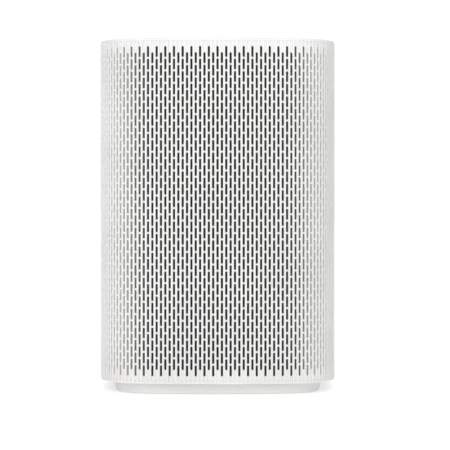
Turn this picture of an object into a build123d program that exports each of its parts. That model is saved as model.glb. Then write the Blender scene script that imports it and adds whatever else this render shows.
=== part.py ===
from build123d import *
from math import atan2, cos, degrees, hypot, pi, radians, sin, sqrt
import os

os.makedirs("parts", exist_ok=True)

# Air purifier: a fluted tower on a bowed-square plan. Air comes in through slots all round, passes a
# ring filter, and a mixed-flow fan blows it out of the top. Front is -Y and +Z is up. The origin is
# the middle of the footprint, on the floor. All sizes are in millimetres.

# Body
BODY_WIDTH = 240.0
BODY_HEIGHT = 348.5
BOW_RADIUS = 632.0
CORNER_RADIUS = 52.6
COVER_WALL = 3.6
COLUMNS = 198
GROOVE_WIDTH = 2.35
GROOVE_DEPTH = 1.1
SLOT_WIDTH = 2.15
SLOT_LENGTH = 10.7
SLOT_PITCH = 12.2
SLOT_LAND = 4.0
ROWS_PER_WINDOW = 9
SEAM = 0.3

# Base
FOOT_RADIUS = 9.0
FOOT_DEPTH = 2.0
FOOT_STANDOFF = 0.8
FOOT_OUT = 20.0
PLINTH_TOP = 11.6
PLINTH_HEAD_GAP = 0.10
PLINTH_WALL = 2.5
PLINTH_FLOOR = 2.2
PLINTH_ROUND = 1.0
PLINTH_BOSS = 5.0
PLINTH_SCREW = 10.5
TRAY_RIM = 1.8
TRAY_ROUND = 0.6
TRAY_SEAT = 3.0
TRAY_INSET = 8.5
NOTCH_WIDTH = 56.0
NOTCH_DEPTH = 13.5

# Clearances
FIT = 0.05
RUN_GAP = 0.3
SKIRT_GAP = 0.4

# Pre-filter liners behind the covers
LINER_WALL = 1.0
LINER_GAP = 0.5
LINER_SEAM = 1.0

# Ring filter
FILTER_AIR_GAP = 27.4
FILTER_BORE = 44.0
CAP_HEIGHT = 6.0
CAP_LIP = 1.2
GASKET_HEIGHT = 3.0
GASKET_WIDTH = 10.0
PLEATS = 64
SLEEVE_WALL = 0.8
CARBON_WALL = 5.0
TAB_WIDTH = 22.0
TAB_THICK = 1.2
TAB_HEIGHT = 26.0
TAB_REACH = 9.0
CAP_PLATE = 3.0
PLEAT_WALL = 1.1

# Fan bay, from the bulkhead up to the deck
FAN_BAY = 111.0
BULKHEAD = 3.0
BULKHEAD_INSET = 9.0
DUCT_MARGIN = 16.0
DUCT_WALL = 2.5
DUCT_DROP = 16.3
IMPELLER_GAP = 23.5
IMPELLER_WALL = 2.0
HUB_LIFT = 19.7
HUB_KNEE = 16.0
HUB_CONE = 14.0
SHROUD_LIFT = 10.7
SHROUD_CONE = 11.5
BLADE_SWEEP = 38
THROAT_STEP = 22.0
LIP_WALL = 1.8
INLET_FIT = 0.1
INLET_FLARE = 10.0
INLET_FLANGE = 10.0
GUARD_WIRE = 1.4
GUARD_SPOKE = 1.8
GUARD_PITCH = 8.0
FAN_COLUMN = 5.0
COLUMN_TURN = 28
COLUMN_OUT = 10.0
BLADES = 11
BLADE_WALL = 1.6
VANES = 13
VANE_WALL = 1.8
VANE_LEAN = 30
POD_RADIUS = 50.0
POD_WALL = 2.5
COVER_DOME = 5.0
DOME_ROUND = 4.0
DOME_WALL = 2.0
LEAD_STEP = 5.0
WIRE_DROP = 30.0
PANEL_DROP = 20.0
MOTOR_MOUNT_Z = 48.7
MOUNT_RADIUS = 46.0
MOUNT_WALL = 3.0

# Motor
SHAFT_RADIUS = 3.0
BEARING_RADIUS = 7.5
BEARING_HEIGHT = 5.0
BEARING_BORE_GAP = 0.03
BEARING_SEAT_GAP = 0.02
BEARING_TRACK = (4.6, 6.2, 0.4)
HUB_NUT = 5.8
HUB_NUT_HEIGHT = 5.0
CLIP_GROOVE = 0.5
CLIP_WALL = 0.8
CORE_RADIUS = 22.0
MAGNET_WALL = 2.6
ROTOR_WALL = 1.6
ROTOR_HEIGHT = 20.5
HUB_GAP = 1.0
HUB_WALL = 2.0
HUB_FLOOR = 4.5
TEETH = 9
TOOTH = 4.0
SHOE_WALL = 1.6
COIL_WALL = 1.2

# Deck, grille and control disc
DECK_RIM = 2.2
RIM_ROUND = 0.9
MOUTH_ROUND = 0.8
SKIRT_WALL = 2.0
SKIRT_DEPTH = 4.5
COLLAR_WALL = 2.5
COLLAR_STEP = 7.0
DECK_PIN = 2.0
DECK_PIN_LENGTH = 7.0
SEAL_HEIGHT = 1.0
GRILLE_FINS = 60
GRILLE_FIN = 1.6
GRILLE_SWEEP = 22
GRILLE_CUP = 2.0
GRILLE_RING = 1.4
GRILLE_RINGS = (52.0, 66.0, 80.0)
GRILLE_DROP = 0.8
PANEL_RADIUS = 38.0
PANEL_WALL = 2.0
PANEL_PLATE = 2.5
PANEL_PROUD = 1.2
BUTTON_RADIUS = 11.0
BUTTON_GAP = 0.3
BUTTON_TRAVEL = 0.6
RING_INNER = 15.0
RING_OUTER = 17.0
RING_DEPTH = 1.2
RING_PINS = 8
LENS_RADIUS = 1.2
LENSES = 4
LENS_RING = 27.0
LENS_STEP = 9.0
BOARD_WALL = 1.6
BOARD_GAP = 0.5
PIN_LIGHT = 0.9
SCREW_BOSS = 3.0
PANEL_ROUND = 0.8
BUTTON_ROUND = 0.6
BUTTON_FLANGE = 1.6

# Fasteners and magnets
SCREW_RADIUS = 1.5
SCREW_HEAD = 2.8
SCREW_HEAD_HEIGHT = 2.2
MAGNET_RADIUS = 4.0
MAGNET_DEPTH = 2.5
POST_WIDTH = 10.0
POST_DEPTH = 22.0
FRONT_POST = 15.0
POST_GAP = 3.0
POST_ROUND = 3.0
REAR_POST_OUT = 11.0
FRONT_POST_SIDE = 3.5
FRONT_POST_OUT = 24.5
POST_HOLE = 14.0
POST_SCREW = 12.0
MAGNET_LOW = 24.0
MAGNET_HIGH = 16.0
MAGNET_GAP = 0.6
BOSS_RADIUS = 5.5

# Power inlet and wiring
JACK_RADIUS = 3.4
JACK_SOCKET = 2.85
JACK_PIN = 1.0
JACK_Z = 7.3
JACK_FLANGE = 4.2
JACK_LENGTH = 14.0
JACK_SOCKET_DEPTH = 9.5
JACK_FLANGE_WALL = 1.0
JACK_NUT = 2.0
CABLE_RADIUS = 1.5
LEAD_RADIUS = 1.2
LEAD_GAP = 0.2
LEAD_BEND = 8.0
CABLE_OUT = 22.5
CLIP_HEIGHT = 6.0

# Electronics
BOARD_OUT = 26.6
BOARD_PARTS = 8.0
SENSOR_OUT = 24.0
SENSOR_DEPTH = 12.0
SENSOR_HALF = 19.0
SENSOR_HEIGHT = 38.0
PCB_LIFT = 7.7
PCB_HALF = 24.0
BRACKET_HALF = 14.0
LED_SIZE = 1.6
LED_HEIGHT = 0.8
SWITCH_HEIGHT = 3.0
PLUNGER_RADIUS = 1.7
PLUNGER_SINK = 0.8

# Heights that follow
COVER_BOTTOM = PLINTH_TOP + TRAY_RIM
COVER_TOP = BODY_HEIGHT - DECK_RIM
SEAT_Z = COVER_BOTTOM + TRAY_SEAT
BULKHEAD_Z = COVER_TOP - FAN_BAY
FAN_Z = BULKHEAD_Z + BULKHEAD
DUCT_TOP = COVER_TOP - DUCT_DROP
FILTER_BOTTOM = SEAT_Z + RUN_GAP
FILTER_TOP = BULKHEAD_Z - RUN_GAP
MOUNT_Z = FAN_Z + MOTOR_MOUNT_Z
SLOT_ROWS = int((COVER_TOP - COVER_BOTTOM - SLOT_PITCH / 2 - 2 * SLOT_LAND) / SLOT_PITCH)

# Radii that follow
HALF = BODY_WIDTH / 2
FILTER_RADIUS = HALF - COVER_WALL - FILTER_AIR_GAP
DUCT_RADIUS = HALF - DUCT_MARGIN
DUCT_BORE = DUCT_RADIUS - DUCT_WALL
IMPELLER_RADIUS = DUCT_BORE - IMPELLER_GAP
THROAT = IMPELLER_RADIUS - THROAT_STEP
ROTOR_RADIUS = CORE_RADIUS + 0.4 + MAGNET_WALL + FIT + ROTOR_WALL
HUB_BORE = ROTOR_RADIUS + HUB_GAP
HUB_RADIUS = HUB_BORE + HUB_WALL
COLLAR_BORE = DUCT_RADIUS - COLLAR_STEP
LINER_INSET = COVER_WALL + SKIRT_GAP
INLET_HOLE = THROAT + INLET_FLARE

# The plan curve: four bow arcs and four corner arcs, tangent to each other. CORNER is the distance of
# a corner arc's centre from both middle planes, and BOW_ANGLE is half the angle of a bow arc.
side_shift = BOW_RADIUS - HALF
arc_step = BOW_RADIUS - CORNER_RADIUS
CORNER = (sqrt(2 * arc_step**2 - side_shift**2) - side_shift) / 2
BOW_ANGLE = atan2(CORNER, side_shift + CORNER)
BOW_LENGTH = 2 * BOW_RADIUS * BOW_ANGLE
CORNER_OUT = CORNER * sqrt(2)
QUARTER = BOW_LENGTH + CORNER_RADIUS * (pi / 2 - 2 * BOW_ANGLE)
COLUMN_PITCH = 4 * QUARTER / COLUMNS


def save(shape, node):
    """Write one node's solids to parts/NODE.step."""
    export_step(shape, os.path.join("parts", node + ".step"))


def plan_point(length, inset=0.0):
    """Point and outward turn of the plan curve, `length` along it from the front's middle."""
    quarter, along = divmod(length + BOW_LENGTH / 2, QUARTER)
    if along < BOW_LENGTH:
        turn = along / BOW_RADIUS - BOW_ANGLE
        x = (BOW_RADIUS - inset) * sin(turn)
        y = side_shift - (BOW_RADIUS - inset) * cos(turn)
    else:
        turn = BOW_ANGLE + (along - BOW_LENGTH) / CORNER_RADIUS
        x = CORNER + (CORNER_RADIUS - inset) * sin(turn)
        y = -CORNER - (CORNER_RADIUS - inset) * cos(turn)
    spin = quarter * pi / 2
    return x * cos(spin) - y * sin(spin), x * sin(spin) + y * cos(spin), turn + spin


def plan_face(inset):
    """The body's outline moved in by `inset`, as a face."""
    arcs = []
    for side in range(4):
        start = side * QUARTER - BOW_LENGTH / 2
        stops = (0, BOW_LENGTH / 2, BOW_LENGTH, (BOW_LENGTH + QUARTER) / 2, QUARTER)
        points = [plan_point(start + stop, inset)[:2] for stop in stops]
        arcs.append(ThreePointArc(*points[0:3]))
        arcs.append(ThreePointArc(*points[2:5]))
    return make_face(arcs)


def slab(inset, low, high):
    """A plate of the body's outline between two heights."""
    return Pos(0, 0, low) * extrude(plan_face(inset), high - low)


def wall(inset, thickness, low, high):
    """An upright wall that follows the body's outline."""
    return slab(inset, low, high) - slab(inset + thickness, low, high)


def rod(radius, low, high, x=0.0, y=0.0):
    """An upright cylinder between two heights."""
    return Pos(x, y, (low + high) / 2) * Cylinder(radius, high - low)


def tube(bore, radius, low, high, x=0.0, y=0.0):
    """An upright tube between two heights."""
    return rod(radius, low, high, x, y) - rod(bore, low - 1, high + 1, x, y)


def block(x0, x1, y0, y1, z0, z1):
    """A box between two corners."""
    return Pos((x0 + x1) / 2, (y0 + y1) / 2, (z0 + z1) / 2) * Box(x1 - x0, y1 - y0, z1 - z0)


def turned(*profile):
    """A ring turned about Z from a closed profile of (radius, height) points."""
    return revolve(make_face(Polyline(*[(r, 0, z) for r, z in profile], close=True)), Axis.Z)


def around(count, radius, first=0.0):
    """Places on a circle about Z, each with its turn in degrees."""
    turns = [first + 360.0 * k / count for k in range(count)]
    return [(radius * cos(radians(t)), radius * sin(radians(t)), t) for t in turns]


def screw(x, y, seat, length, head_up):
    """A pan-head screw whose head rests on `seat`, above or below it."""
    way = 1 if head_up else -1
    head = rod(SCREW_HEAD, *sorted((seat, seat + way * SCREW_HEAD_HEIGHT)), x, y)
    shank = rod(SCREW_RADIUS, *sorted((seat, seat - way * length)), x, y)
    socket_seat = seat + way * SCREW_HEAD_HEIGHT
    socket = rod(1.2, *sorted((socket_seat - way * 1.2, socket_seat)), x, y)
    return head + shank - socket


def pilot(x, y, low, high):
    """The hole that a screw's shank goes in."""
    return rod(SCREW_RADIUS + FIT, low, high, x, y)


def curved_fin(inner, outer, sweep, thickness, low, high, turn):
    """An upright fin from one radius to another that leans back by `sweep` degrees on the way."""
    lean = radians(sweep)
    middle = (inner + outer) / 2
    path = ThreePointArc(
        (inner, 0),
        (middle * cos(lean * 0.35), middle * sin(lean * 0.35)),
        (outer * cos(lean), outer * sin(lean)),
    )
    sketch = trace(path, line_width=thickness)
    return Pos(0, 0, low) * Rot(0, 0, turn) * extrude(sketch, high - low)


def diagonal(distance, across, quadrant):
    """Plan point at a distance from the axis along a diagonal, and across it."""
    turn = radians(45 + 90 * quadrant)
    return distance * cos(turn) - across * sin(turn), distance * sin(turn) + across * cos(turn)


# Fluted covers. Each is half of the skin, from a rib at one side's middle to the rib opposite.
def cover_shell(first, last, low, high):
    """A half shell with a groove on each column and tall windows that stand for its slots."""
    start = (first - 0.5) * COLUMN_PITCH + SEAM / 2
    end = (last + 0.5) * COLUMN_PITCH - SEAM / 2
    outside = [plan_point(start)[:2]]
    inside = [plan_point(start, COVER_WALL)[:2]]
    for column in range(first, last + 1):
        x, y, turn = plan_point(column * COLUMN_PITCH)
        for across, depth in ((-0.5, 0), (-0.5, 1), (0.5, 1), (0.5, 0)):
            side = across * GROOVE_WIDTH
            sunk = depth * GROOVE_DEPTH
            across_x = side * cos(turn) - sunk * sin(turn)
            across_y = side * sin(turn) + sunk * cos(turn)
            outside.append((x + across_x, y + across_y))
        if column < last:
            inside.append(plan_point((column + 0.5) * COLUMN_PITCH, COVER_WALL)[:2])
    outside.append(plan_point(end)[:2])
    inside.append(plan_point(end, COVER_WALL)[:2])
    outline = Polyline(*outside, *reversed(inside), close=True)
    shell = Pos(0, 0, low) * extrude(make_face(outline), high - low)
    windows = []
    for column in range(first, last + 1):
        x, y, turn = plan_point(column * COLUMN_PITCH)
        stagger = SLOT_PITCH / 4 if column % 2 == 0 else -SLOT_PITCH / 4
        lowest = (COVER_BOTTOM + COVER_TOP) / 2 + stagger - (SLOT_ROWS - 1) / 2 * SLOT_PITCH
        for row in range(0, SLOT_ROWS, ROWS_PER_WINDOW):
            rows = min(ROWS_PER_WINDOW, SLOT_ROWS - row)
            height = (rows - 1) * SLOT_PITCH + SLOT_LENGTH
            middle = lowest + row * SLOT_PITCH + (height - SLOT_LENGTH) / 2
            window = Box(SLOT_WIDTH, 4 * COVER_WALL, height)
            windows.append(Pos(x, y, middle) * Rot(0, 0, degrees(turn)) * window)
    return shell - windows


half_columns = COLUMNS // 2
front_first = -(half_columns // 2)
front_last = front_first + half_columns - 1
save(cover_shell(front_first, front_last, COVER_BOTTOM, COVER_TOP), "front_cover")

# Posts carry the fan bay over the filter. The rear pair also holds the magnets for the rear cover.
REAR_POST_X = FILTER_RADIUS + POST_GAP + POST_WIDTH / 2
REAR_POST_Y = CORNER + REAR_POST_OUT
FRONT_POST_X = CORNER + FRONT_POST_SIDE
FRONT_POST_Y = -CORNER - FRONT_POST_OUT
REAR_SCREW = (REAR_POST_X - 1.5, REAR_POST_Y - 5.0)
FRONT_SCREW = (FRONT_POST_X, FRONT_POST_Y)
MAGNET_HEIGHTS = (SEAT_Z + MAGNET_LOW, BULKHEAD_Z - MAGNET_HIGH)
post_magnet_y = REAR_POST_Y + POST_DEPTH / 2
front_posts = []
rear_posts = []
frame_magnets = []
chassis_screws = []
for side in (-1, 1):
    for posts, x, y, width, depth, place in (
        (front_posts, FRONT_POST_X, FRONT_POST_Y, FRONT_POST, FRONT_POST, FRONT_SCREW),
        (rear_posts, REAR_POST_X, REAR_POST_Y, POST_WIDTH, POST_DEPTH, REAR_SCREW),
    ):
        post = extrude(RectangleRounded(width, depth, POST_ROUND), BULKHEAD_Z - SEAT_Z)
        post = Pos(side * x, y, SEAT_Z) * post
        post -= pilot(side * place[0], place[1], SEAT_Z - 1, SEAT_Z + POST_HOLE)
        post -= pilot(side * place[0], place[1], BULKHEAD_Z - POST_HOLE, BULKHEAD_Z + 1)
        low_length = SEAT_Z - PLINTH_TOP + POST_SCREW
        chassis_screws.append(screw(side * place[0], place[1], PLINTH_TOP, low_length, False))
        chassis_screws.append(screw(side * place[0], place[1], FAN_Z, BULKHEAD + POST_SCREW, True))
        if posts is rear_posts:
            for height in MAGNET_HEIGHTS:
                magnet = Pos(side * x, post_magnet_y - MAGNET_DEPTH / 2, height) * Rot(90, 0, 0)
                post -= magnet * Cylinder(MAGNET_RADIUS + FIT, MAGNET_DEPTH)
                frame_magnets.append(magnet * Cylinder(MAGNET_RADIUS, MAGNET_DEPTH))
        posts.append(post)
save(Compound(children=front_posts), "front_posts")
save(Compound(children=rear_posts), "rear_posts")
save(Compound(children=frame_magnets), "frame_magnets")

# Rear cover with its four magnet bosses, and its own liner.
BOSS_FACE_Y = post_magnet_y + MAGNET_GAP
boss_places = [(side * REAR_POST_X, height) for side in (-1, 1) for height in MAGNET_HEIGHTS]


def along_y(radius, x, z, low, high):
    """A cylinder along Y."""
    return Pos(x, (low + high) / 2, z) * Rot(90, 0, 0) * Cylinder(radius, high - low)


rear_low = COVER_BOTTOM + RUN_GAP
rear_high = COVER_TOP - RUN_GAP
rear_cover = cover_shell(front_last + 1, front_last + half_columns, rear_low, rear_high)
boss_zone = slab(COVER_WALL - 1.0, COVER_BOTTOM, COVER_TOP)
bosses = [along_y(BOSS_RADIUS, x, z, BOSS_FACE_Y, HALF) & boss_zone for x, z in boss_places]
rear_cover += bosses
pocket_end = BOSS_FACE_Y + MAGNET_DEPTH
rear_cover -= [along_y(MAGNET_RADIUS + FIT, x, z, BOSS_FACE_Y - 1, pocket_end) for x, z in boss_places]
save(rear_cover, "rear_cover")
cover_magnets = [along_y(MAGNET_RADIUS, x, z, BOSS_FACE_Y, pocket_end) for x, z in boss_places]
save(Compound(children=cover_magnets), "cover_magnets")

LINER_LOW = COVER_BOTTOM + RUN_GAP + SLOT_LAND
LINER_HIGH = COVER_TOP - SKIRT_DEPTH - LINER_GAP
liner = wall(LINER_INSET, LINER_WALL, LINER_LOW, LINER_HIGH)
front_liner = liner & block(-HALF, HALF, -HALF, -LINER_SEAM, LINER_LOW, LINER_HIGH)
rear_liner = liner & block(-HALF, HALF, LINER_SEAM, HALF, LINER_LOW, LINER_HIGH)
rear_liner -= [along_y(BOSS_RADIUS + RUN_GAP, x, z, BOSS_FACE_Y, HALF) for x, z in boss_places]
save(front_liner, "front_prefilter")
save(rear_liner, "rear_prefilter")

# Base: rubber feet, plinth and tray. The plinth is as wide as the heads of the rear post screws need.
foot_places = [diagonal(CORNER_OUT + FOOT_OUT, 0, quadrant) for quadrant in range(4)]
save(Compound(children=[rod(FOOT_RADIUS, 0, FOOT_DEPTH, x, y) for x, y in foot_places]), "feet")

cable_x, cable_y = diagonal(CORNER_OUT + CABLE_OUT, 0, 2)
head_reach = hypot(REAR_SCREW[0] - CORNER, REAR_SCREW[1] - CORNER) + SCREW_HEAD + PLINTH_HEAD_GAP
PLINTH_INSET = CORNER_RADIUS - PLINTH_WALL - head_reach
plinth = slab(PLINTH_INSET, FOOT_STANDOFF, PLINTH_TOP)
plinth = fillet(plinth.edges().group_by(Axis.Z)[0], PLINTH_ROUND)
plinth -= slab(PLINTH_INSET + PLINTH_WALL, FOOT_STANDOFF + PLINTH_FLOOR, PLINTH_TOP)
plinth -= [rod(FOOT_RADIUS + RUN_GAP, 0, FOOT_DEPTH, x, y) for x, y in foot_places]
plinth_back = HALF - PLINTH_INSET
plinth -= along_y(JACK_RADIUS + FIT, 0, JACK_Z, plinth_back - PLINTH_WALL - 1, plinth_back + 1)
plinth_screws = []
screw_seat = FOOT_STANDOFF + SCREW_HEAD_HEIGHT + 1.0
boss_spots = [diagonal(FILTER_RADIUS - PLINTH_BOSS - 1.0, 0, quadrant) for quadrant in range(4)]
for x, y in boss_spots:
    plinth += rod(PLINTH_BOSS, FOOT_STANDOFF + PLINTH_FLOOR, PLINTH_TOP, x, y)
    plinth -= pilot(x, y, 0, PLINTH_TOP + 1)
    plinth -= rod(SCREW_HEAD + RUN_GAP, 0, screw_seat, x, y)
    plinth_screws.append(screw(x, y, screw_seat, PLINTH_SCREW, False))
save(plinth, "plinth")
save(Compound(children=plinth_screws), "plinth_screws")

tray = slab(0, PLINTH_TOP, COVER_BOTTOM)
tray = fillet(tray.edges().group_by(Axis.Z)[0], TRAY_ROUND)
tray += slab(TRAY_INSET, COVER_BOTTOM, SEAT_Z)
tray -= block(-NOTCH_WIDTH / 2, NOTCH_WIDTH / 2, HALF - NOTCH_DEPTH, HALF + 1, PLINTH_TOP - 1, SEAT_Z + 1)
for side in (-1, 1):
    for x, y in (REAR_SCREW, FRONT_SCREW):
        tray -= pilot(side * x, y, PLINTH_TOP - 1, SEAT_Z + 1)
for x, y in boss_spots:
    tray -= pilot(x, y, PLINTH_TOP - 1, SEAT_Z - 0.6)
tray -= rod(CABLE_RADIUS + FIT, PLINTH_TOP - 1, SEAT_Z + 1, cable_x, cable_y)
save(tray, "base_tray")

# Power inlet: a round panel jack through the back of the plinth, with its nut inside.
jack = along_y(JACK_FLANGE, 0, JACK_Z, plinth_back, plinth_back + JACK_FLANGE_WALL)
jack += along_y(JACK_RADIUS, 0, JACK_Z, plinth_back - JACK_LENGTH, plinth_back)
jack -= along_y(JACK_SOCKET, 0, JACK_Z, plinth_back - JACK_SOCKET_DEPTH, plinth_back + 2.0)
jack += along_y(JACK_PIN, 0, JACK_Z, plinth_back - JACK_SOCKET_DEPTH - 0.5, plinth_back - 1.0)
save(jack, "dc_jack")
nut_back = plinth_back - PLINTH_WALL - FIT
hexagon = RegularPolygon(JACK_FLANGE / cos(pi / 6), 6)
nut = Pos(0, nut_back, JACK_Z) * Rot(90, 0, 0) * extrude(hexagon, JACK_NUT)
nut -= along_y(JACK_RADIUS + FIT, 0, JACK_Z, nut_back - JACK_NUT - 1, nut_back + 1)
save(nut, "jack_nut")

# Ring filter
media_bottom = FILTER_BOTTOM + CAP_HEIGHT
media_top = FILTER_TOP - GASKET_HEIGHT - CAP_HEIGHT
cap_floor = CAP_HEIGHT - CAP_PLATE
bottom_cap = rod(FILTER_RADIUS, FILTER_BOTTOM, media_bottom) - rod(
    FILTER_RADIUS - CAP_LIP, FILTER_BOTTOM + cap_floor, media_bottom
)
top_cap = tube(FILTER_BORE, FILTER_RADIUS, media_top, media_top + CAP_HEIGHT)
top_cap -= tube(FILTER_BORE + CAP_LIP, FILTER_RADIUS - CAP_LIP, media_top, media_top + CAP_HEIGHT - cap_floor)
save(bottom_cap, "filter_bottom_cap")
save(top_cap, "filter_top_cap")
pack_low = FILTER_BOTTOM + cap_floor
pack_high = media_top + CAP_HEIGHT - cap_floor
sleeve_radius = FILTER_RADIUS - CAP_LIP - RUN_GAP
save(tube(sleeve_radius - SLEEVE_WALL, sleeve_radius, pack_low, pack_high), "filter_sleeve")
carbon_inner = FILTER_BORE + CAP_LIP + RUN_GAP
save(tube(carbon_inner, carbon_inner + CARBON_WALL, pack_low, pack_high), "carbon_core")
pleat_outer = sleeve_radius - SLEEVE_WALL - RUN_GAP
pleat_inner = carbon_inner + CARBON_WALL + RUN_GAP
pleat_fold = 3.5 * PLEAT_WALL
outer_zigzag = []
inner_zigzag = []
for fold in range(2 * PLEATS):
    angle = pi * fold / PLEATS
    outward = fold % 2 == 0
    outer_r = pleat_outer if outward else pleat_inner + pleat_fold
    inner_r = pleat_outer - pleat_fold if outward else pleat_inner
    outer_zigzag.append((outer_r * cos(angle), outer_r * sin(angle)))
    inner_zigzag.append((inner_r * cos(angle), inner_r * sin(angle)))
media = make_face(Polyline(*outer_zigzag, close=True)) - make_face(Polyline(*inner_zigzag, close=True))
save(Pos(0, 0, pack_low) * extrude(media, pack_high - pack_low), "filter_media")
gasket_outer = FILTER_RADIUS - 4.0
gasket = tube(gasket_outer - GASKET_WIDTH, gasket_outer, FILTER_TOP - GASKET_HEIGHT, FILTER_TOP)
save(gasket, "filter_gasket")
TAB_LOW = FILTER_BOTTOM + 0.5
TAB_HIGH = TAB_LOW + TAB_HEIGHT
tab_out = FILTER_RADIUS + TAB_REACH
tab_in = tab_out - TAB_THICK
tab_root = FILTER_RADIUS + RUN_GAP / 10
tab = block(-TAB_WIDTH / 2, TAB_WIDTH / 2, FILTER_RADIUS - TAB_WIDTH / 2, tab_out, TAB_LOW, TAB_HIGH)
tab -= block(-TAB_WIDTH, TAB_WIDTH, 0, tab_in, TAB_LOW + TAB_THICK, TAB_HIGH - TAB_THICK)
tab -= rod(tab_root, TAB_LOW - 1, TAB_HIGH + 1)
save(tab, "pull_tab")

# Fan bulkhead, finger guard and bell-mouth inlet.
bulkhead = slab(BULKHEAD_INSET, BULKHEAD_Z, FAN_Z) - rod(INLET_HOLE, BULKHEAD_Z - 1, FAN_Z + 1)
for side in (-1, 1):
    for x, y in (REAR_SCREW, FRONT_SCREW):
        bulkhead -= pilot(side * x, y, BULKHEAD_Z - 1, FAN_Z + 1)
bulkhead -= rod(CABLE_RADIUS + FIT, BULKHEAD_Z - 1, FAN_Z + 1, cable_x, cable_y)
column_ring = DUCT_RADIUS + COLUMN_OUT
column_places = [
    (column_ring * cos(radians(t)), column_ring * sin(radians(t)))
    for t in (COLUMN_TURN, 180 - COLUMN_TURN, 180 + COLUMN_TURN, -COLUMN_TURN)
]
for x, y in column_places:
    bulkhead -= pilot(x, y, BULKHEAD_Z - 1, FAN_Z + 1)
    chassis_screws.append(screw(x, y, BULKHEAD_Z, BULKHEAD + 10.0, False))
save(bulkhead, "fan_bulkhead")
save(Compound(children=chassis_screws), "chassis_screws")

lip_bore = THROAT - LIP_WALL
lip_top = FAN_Z + 15.7
bell_mouth = INLET_HOLE - INLET_FIT
bell_arc = [
    (bell_mouth - (bell_mouth - lip_bore) * sin(radians(t)), FAN_Z - 1.0 + 12.0 * (1 - cos(radians(t))))
    for t in range(0, 91, 15)
]
bell_back = [(r + LIP_WALL, z) for r, z in bell_arc if z > FAN_Z + 2.0]
inlet_ring = turned(
    *bell_arc,
    (lip_bore, lip_top),
    (THROAT, lip_top),
    *reversed(bell_back),
    (bell_mouth, FAN_Z + 2.0),
    (INLET_HOLE + INLET_FLANGE, FAN_Z + 2.0),
    (INLET_HOLE + INLET_FLANGE, FAN_Z),
    (bell_mouth, FAN_Z),
)
save(inlet_ring, "inlet_ring")
GUARD_LOW = BULKHEAD_Z + 0.4
GUARD_HIGH = BULKHEAD_Z + 1.8
guard = tube(INLET_HOLE - 2.4, INLET_HOLE - RUN_GAP / 3, GUARD_LOW, GUARD_HIGH)
guard_radius = GUARD_PITCH
while guard_radius < INLET_HOLE - GUARD_PITCH / 2:
    guard += tube(guard_radius, guard_radius + GUARD_WIRE, GUARD_LOW, GUARD_HIGH)
    guard_radius += GUARD_PITCH
spoke = Box(INLET_HOLE - 9.5, GUARD_SPOKE, GUARD_HIGH - GUARD_LOW)
for x, y, turn in around(6, (INLET_HOLE - 1.5) / 2 + GUARD_PITCH / 2, 30.0):
    guard += Pos(x, y, (GUARD_LOW + GUARD_HIGH) / 2) * Rot(0, 0, turn) * spoke
save(guard, "inlet_guard")

# Impeller: a conical hub plate, a shroud and backward-leaning blades between them.
shroud_bore = THROAT + 1.0
shroud_low = FAN_Z + SHROUD_LIFT
shroud_rim = shroud_low + SHROUD_CONE
hub_low = FAN_Z + HUB_LIFT
hub_knee = hub_low + HUB_KNEE
hub_rim = hub_knee + HUB_CONE
hub_floor = hub_low + HUB_FLOOR
hub = turned(
    (SHAFT_RADIUS + FIT, hub_low),
    (HUB_RADIUS, hub_low),
    (HUB_RADIUS, hub_knee),
    (IMPELLER_RADIUS, hub_rim),
    (IMPELLER_RADIUS, hub_rim + IMPELLER_WALL),
    (HUB_BORE, hub_knee + 3.0),
    (HUB_BORE, hub_floor),
    (SHAFT_RADIUS + FIT, hub_floor),
)
shroud = turned(
    (shroud_bore, shroud_low),
    (shroud_bore + 2.2, shroud_low),
    (shroud_bore + 2.2, shroud_low + 1.0),
    (IMPELLER_RADIUS, shroud_rim),
    (IMPELLER_RADIUS, shroud_rim + IMPELLER_WALL),
    (shroud_bore, shroud_low + IMPELLER_WALL),
)
blade_inner = THROAT - 8.0
hub_slope = HUB_CONE / (IMPELLER_RADIUS - HUB_RADIUS)
blade_zone = turned(
    (blade_inner, lip_top + 1.5),
    (shroud_bore + 8.0, lip_top + 1.5),
    (IMPELLER_RADIUS, shroud_rim + 1.3),
    (IMPELLER_RADIUS, hub_rim + 1.0),
    (blade_inner, hub_knee + hub_slope * (blade_inner - HUB_RADIUS) + 0.8),
)
blades = [
    curved_fin(blade_inner - 2, IMPELLER_RADIUS + 2, BLADE_SWEEP, BLADE_WALL, shroud_low, hub_rim + 2, turn)
    & blade_zone
    for _, _, turn in around(BLADES, 1.0)
]
save(hub + shroud + blades, "impeller")

# Motor: an outer rotor round a wound core. The shaft runs in two bearings in the motor mount's tube.
shaft_low = hub_low - HUB_NUT_HEIGHT - 2.0
shaft_top = MOUNT_Z + 2.5
CLIP_LOW = MOUNT_Z + 0.4
CLIP_HIGH = CLIP_LOW + CLIP_WALL
groove_radius = SHAFT_RADIUS - CLIP_GROOVE
groove = tube(groove_radius, SHAFT_RADIUS + 1, CLIP_LOW, CLIP_HIGH)
save(rod(SHAFT_RADIUS, shaft_low, shaft_top) - groove, "motor_shaft")
save(tube(groove_radius + FIT, SHAFT_RADIUS + 2.0, CLIP_LOW + FIT, CLIP_HIGH - FIT), "shaft_clip")
hub_nut = Pos(0, 0, hub_low - HUB_NUT_HEIGHT) * extrude(RegularPolygon(HUB_NUT, 6), HUB_NUT_HEIGHT)
save(hub_nut - rod(SHAFT_RADIUS + FIT, shaft_low, hub_low + 1), "hub_nut")
cup_low = hub_floor
cup = tube(ROTOR_RADIUS - ROTOR_WALL, ROTOR_RADIUS, cup_low, cup_low + ROTOR_HEIGHT)
cup += tube(SHAFT_RADIUS + FIT, ROTOR_RADIUS, cup_low, cup_low + 2.0)
save(cup, "rotor_cup")
magnet_outer = ROTOR_RADIUS - ROTOR_WALL - FIT
magnet_inner = magnet_outer - MAGNET_WALL
save(tube(magnet_inner, magnet_outer, cup_low + 3.0, cup_low + ROTOR_HEIGHT - 1.0), "rotor_magnets")
tube_low = cup_low + 4.0
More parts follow.
